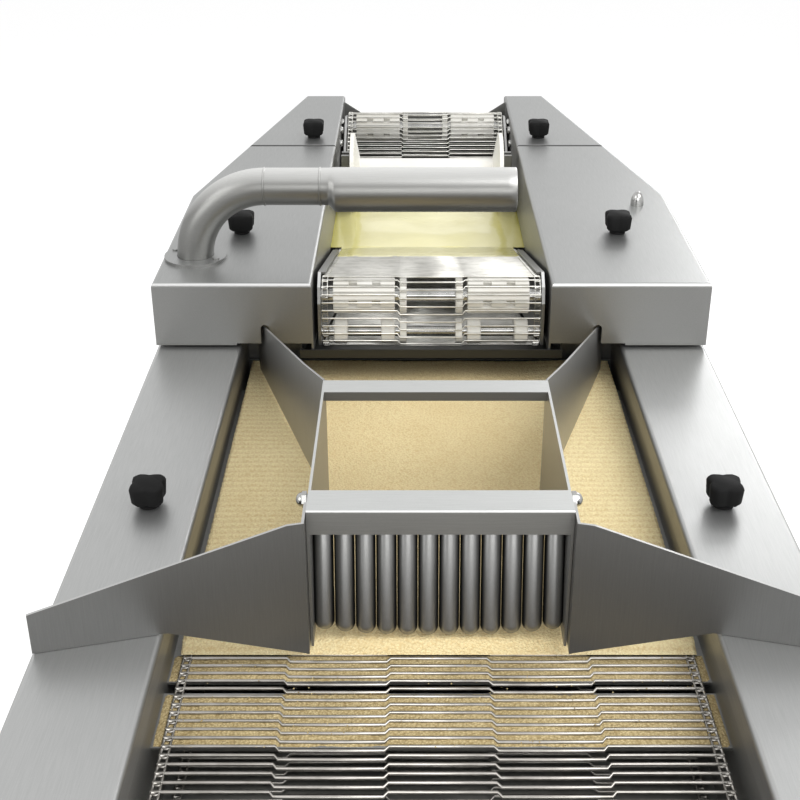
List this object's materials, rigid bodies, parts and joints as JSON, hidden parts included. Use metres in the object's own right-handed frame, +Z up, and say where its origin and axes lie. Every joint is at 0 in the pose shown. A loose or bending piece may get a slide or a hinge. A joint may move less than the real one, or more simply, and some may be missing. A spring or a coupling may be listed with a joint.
{
  "type": "batter breading machine",
  "caption": "Tabletop-width batter and crumb coating line on a stand, with wire belts, a batter curtain pipe, a hold-down drum and levelling fingers.",
  "frame": {"origin": "bottom centre of the bounding box", "axes": "+X to the right seen from the outfeed, +Y from the outfeed to the infeed, +Z up"},
  "size_m": [0.56, 1.45, 1.0959],
  "materials": {
    "cover_steel": "satin",
    "body_steel": "satin",
    "guide_steel": "satin",
    "finger_steel": "satin",
    "wire_steel": "bright",
    "chrome": "bright",
    "pipe_steel": "satin",
    "white_plastic": "matte",
    "black_plastic": "matte",
    "motor_paint": "satin",
    "batter": "wet",
    "crumbs": "granular",
    "foot_rubber": "matte",
    "green_plastic": "gloss",
    "red_plastic": "gloss"
  },
  "bodies": {
    "machine": {"batter_belt": "wire_steel", "batter_body": "body_steel", "batter_gearmotor": "motor_paint", "batter_pool": "batter", "batter_tank": "body_steel", "bed_plates": "body_steel", "belt_side_plates": "body_steel", "bridge_frame": "guide_steel", "control_box": "body_steel", "crumb_belt": "wire_steel", "crumb_body": "body_steel", "crumb_cover_left": "cover_steel", "crumb_cover_right": "cover_steel", "crumb_gearmotor": "motor_paint", "crumb_layer": "crumbs", "curtain_pipe": "pipe_steel", "dome_nuts": "chrome", "feet": "foot_rubber", "finger_shaft": "finger_steel", "front_cover_left": "cover_steel", "front_cover_right": "cover_steel", "guide_left": "guide_steel", "guide_right": "guide_steel", "infeed_end_plate": "body_steel", "pipe_collar": "pipe_steel", "pump": "motor_paint", "rear_cover_left": "cover_steel", "rear_cover_right": "cover_steel", "stand_frame": "body_steel", "suction_pipe": "pipe_steel", "wing_left": "guide_steel", "wing_right": "guide_steel"},
    "infeed_roller_body": {"infeed_roller": "white_plastic"},
    "nose_roller_body": {"nose_roller": "white_plastic"},
    "return_roller_body": {"return_roller": "white_plastic"},
    "bend_roller_body": {"bend_roller": "white_plastic"},
    "outfeed_roller_body": {"outfeed_roller": "white_plastic"},
    "tail_roller_body": {"tail_roller": "white_plastic"},
    "flanged_drum_body": {"flanged_drum": "white_plastic"},
    "front_knob_left_body": {"front_knob_left": "black_plastic"},
    "front_knob_right_body": {"front_knob_right": "black_plastic"},
    "rear_knob_left_body": {"rear_knob_left": "black_plastic"},
    "rear_knob_right_body": {"rear_knob_right": "black_plastic"},
    "crumb_knob_left_body": {"crumb_knob_left": "black_plastic"},
    "crumb_knob_right_body": {"crumb_knob_right": "black_plastic"},
    "start_button_body": {"start_button": "green_plastic"},
    "stop_button_body": {"stop_button": "red_plastic"},
    "speed_knob_body": {"speed_knob": "black_plastic"},
    "finger_01_body": {"finger_01": "finger_steel"},
    "finger_02_body": {"finger_02": "finger_steel"},
    "finger_03_body": {"finger_03": "finger_steel"},
    "finger_04_body": {"finger_04": "finger_steel"},
    "finger_05_body": {"finger_05": "finger_steel"},
    "finger_06_body": {"finger_06": "finger_steel"},
    "finger_07_body": {"finger_07": "finger_steel"},
    "finger_08_body": {"finger_08": "finger_steel"},
    "finger_09_body": {"finger_09": "finger_steel"},
    "finger_10_body": {"finger_10": "finger_steel"},
    "finger_11_body": {"finger_11": "finger_steel"},
    "finger_12_body": {"finger_12": "finger_steel"}
  },
  "joints": [
    {"name": "infeed_roller_spin", "type": "hinge", "parent": "machine", "child": "infeed_roller_body", "pos_m": [0, 0.636, 0.976], "axis": [1, 0, 0], "continuous": true},
    {"name": "nose_roller_spin", "type": "hinge", "parent": "machine", "child": "nose_roller_body", "pos_m": [0, 0.0005, 0.976], "axis": [1, 0, 0], "continuous": true},
    {"name": "return_roller_spin", "type": "hinge", "parent": "machine", "child": "return_roller_body", "pos_m": [0, -0.0049, 0.939], "axis": [1, 0, 0], "continuous": true},
    {"name": "bend_roller_spin", "type": "hinge", "parent": "machine", "child": "bend_roller_body", "pos_m": [0, 0.398, 0.835], "axis": [1, 0, 0], "continuous": true},
    {"name": "outfeed_roller_spin", "type": "hinge", "parent": "machine", "child": "outfeed_roller_body", "pos_m": [0, -0.686, 0.852], "axis": [1, 0, 0], "continuous": true},
    {"name": "tail_roller_spin", "type": "hinge", "parent": "machine", "child": "tail_roller_body", "pos_m": [0, -0.012, 0.852], "axis": [1, 0, 0], "continuous": true},
    {"name": "drum_spin", "type": "hinge", "parent": "machine", "child": "flanged_drum_body", "pos_m": [0, 0.45, 0.9675], "axis": [1, 0, 0], "continuous": true},
    {"name": "front_knob_left_turn", "type": "hinge", "parent": "machine", "child": "front_knob_left_body", "pos_m": [-0.206, 0.122, 1], "axis": [0, 0, 1], "continuous": true},
    {"name": "rear_knob_left_turn", "type": "hinge", "parent": "machine", "child": "rear_knob_left_body", "pos_m": [-0.152, 0.499, 1], "axis": [0, 0, 1], "continuous": true},
    {"name": "crumb_knob_left_turn", "type": "hinge", "parent": "machine", "child": "crumb_knob_left_body", "pos_m": [-0.233, -0.331, 0.93], "axis": [0, 0, 1], "continuous": true},
    {"name": "front_knob_right_turn", "type": "hinge", "parent": "machine", "child": "front_knob_right_body", "pos_m": [0.206, 0.122, 1], "axis": [0, 0, 1], "continuous": true},
    {"name": "rear_knob_right_turn", "type": "hinge", "parent": "machine", "child": "rear_knob_right_body", "pos_m": [0.152, 0.499, 1], "axis": [0, 0, 1], "continuous": true},
    {"name": "crumb_knob_right_turn", "type": "hinge", "parent": "machine", "child": "crumb_knob_right_body", "pos_m": [0.233, -0.331, 0.93], "axis": [0, 0, 1], "continuous": true},
    {"name": "finger_01_swing", "type": "hinge", "parent": "machine", "child": "finger_01_body", "pos_m": [-0.0847, -0.427, 0.9944], "axis": [1, 0, 0], "range_deg": [-50, 20]},
    {"name": "finger_02_swing", "type": "hinge", "parent": "machine", "child": "finger_02_body", "pos_m": [-0.0693, -0.427, 0.9944], "axis": [1, 0, 0], "range_deg": [-50, 20]},
    {"name": "finger_03_swing", "type": "hinge", "parent": "machine", "child": "finger_03_body", "pos_m": [-0.0539, -0.427, 0.9944], "axis": [1, 0, 0], "range_deg": [-50, 20]},
    {"name": "finger_04_swing", "type": "hinge", "parent": "machine", "child": "finger_04_body", "pos_m": [-0.0385, -0.427, 0.9944], "axis": [1, 0, 0], "range_deg": [-50, 20]},
    {"name": "finger_05_swing", "type": "hinge", "parent": "machine", "child": "finger_05_body", "pos_m": [-0.0231, -0.427, 0.9944], "axis": [1, 0, 0], "range_deg": [-50, 20]},
    {"name": "finger_06_swing", "type": "hinge", "parent": "machine", "child": "finger_06_body", "pos_m": [-0.0077, -0.427, 0.9944], "axis": [1, 0, 0], "range_deg": [-50, 20]},
    {"name": "finger_07_swing", "type": "hinge", "parent": "machine", "child": "finger_07_body", "pos_m": [0.0077, -0.427, 0.9944], "axis": [1, 0, 0], "range_deg": [-50, 20]},
    {"name": "finger_08_swing", "type": "hinge", "parent": "machine", "child": "finger_08_body", "pos_m": [0.0231, -0.427, 0.9944], "axis": [1, 0, 0], "range_deg": [-50, 20]},
    {"name": "finger_09_swing", "type": "hinge", "parent": "machine", "child": "finger_09_body", "pos_m": [0.0385, -0.427, 0.9944], "axis": [1, 0, 0], "range_deg": [-50, 20]},
    {"name": "finger_10_swing", "type": "hinge", "parent": "machine", "child": "finger_10_body", "pos_m": [0.0539, -0.427, 0.9944], "axis": [1, 0, 0], "range_deg": [-50, 20]},
    {"name": "finger_11_swing", "type": "hinge", "parent": "machine", "child": "finger_11_body", "pos_m": [0.0693, -0.427, 0.9944], "axis": [1, 0, 0], "range_deg": [-50, 20]},
    {"name": "finger_12_swing", "type": "hinge", "parent": "machine", "child": "finger_12_body", "pos_m": [0.0847, -0.427, 0.9944], "axis": [1, 0, 0], "range_deg": [-50, 20]},
    {"name": "speed_knob_turn", "type": "hinge", "parent": "machine", "child": "speed_knob_body", "pos_m": [0.266, 0.282, 0.525], "axis": [1, 0, 0], "range_deg": [-135, 135]},
    {"name": "start_button_press", "type": "slide", "parent": "machine", "child": "start_button_body", "axis": [-1, 0, 0], "range_m": [0, 0.003], "stiffness_N_per_m": 600},
    {"name": "stop_button_press", "type": "slide", "parent": "machine", "child": "stop_button_body", "axis": [-1, 0, 0], "range_m": [0, 0.003], "stiffness_N_per_m": 600}
  ],
  "couplings": [
    {"joint": "nose_roller_spin", "follows": "infeed_roller_spin", "ratio": 1.0309},
    {"joint": "return_roller_spin", "follows": "infeed_roller_spin", "ratio": 1.4286},
    {"joint": "bend_roller_spin", "follows": "infeed_roller_spin", "ratio": 0.8},
    {"joint": "tail_roller_spin", "follows": "outfeed_roller_spin", "ratio": 1}
  ]
}
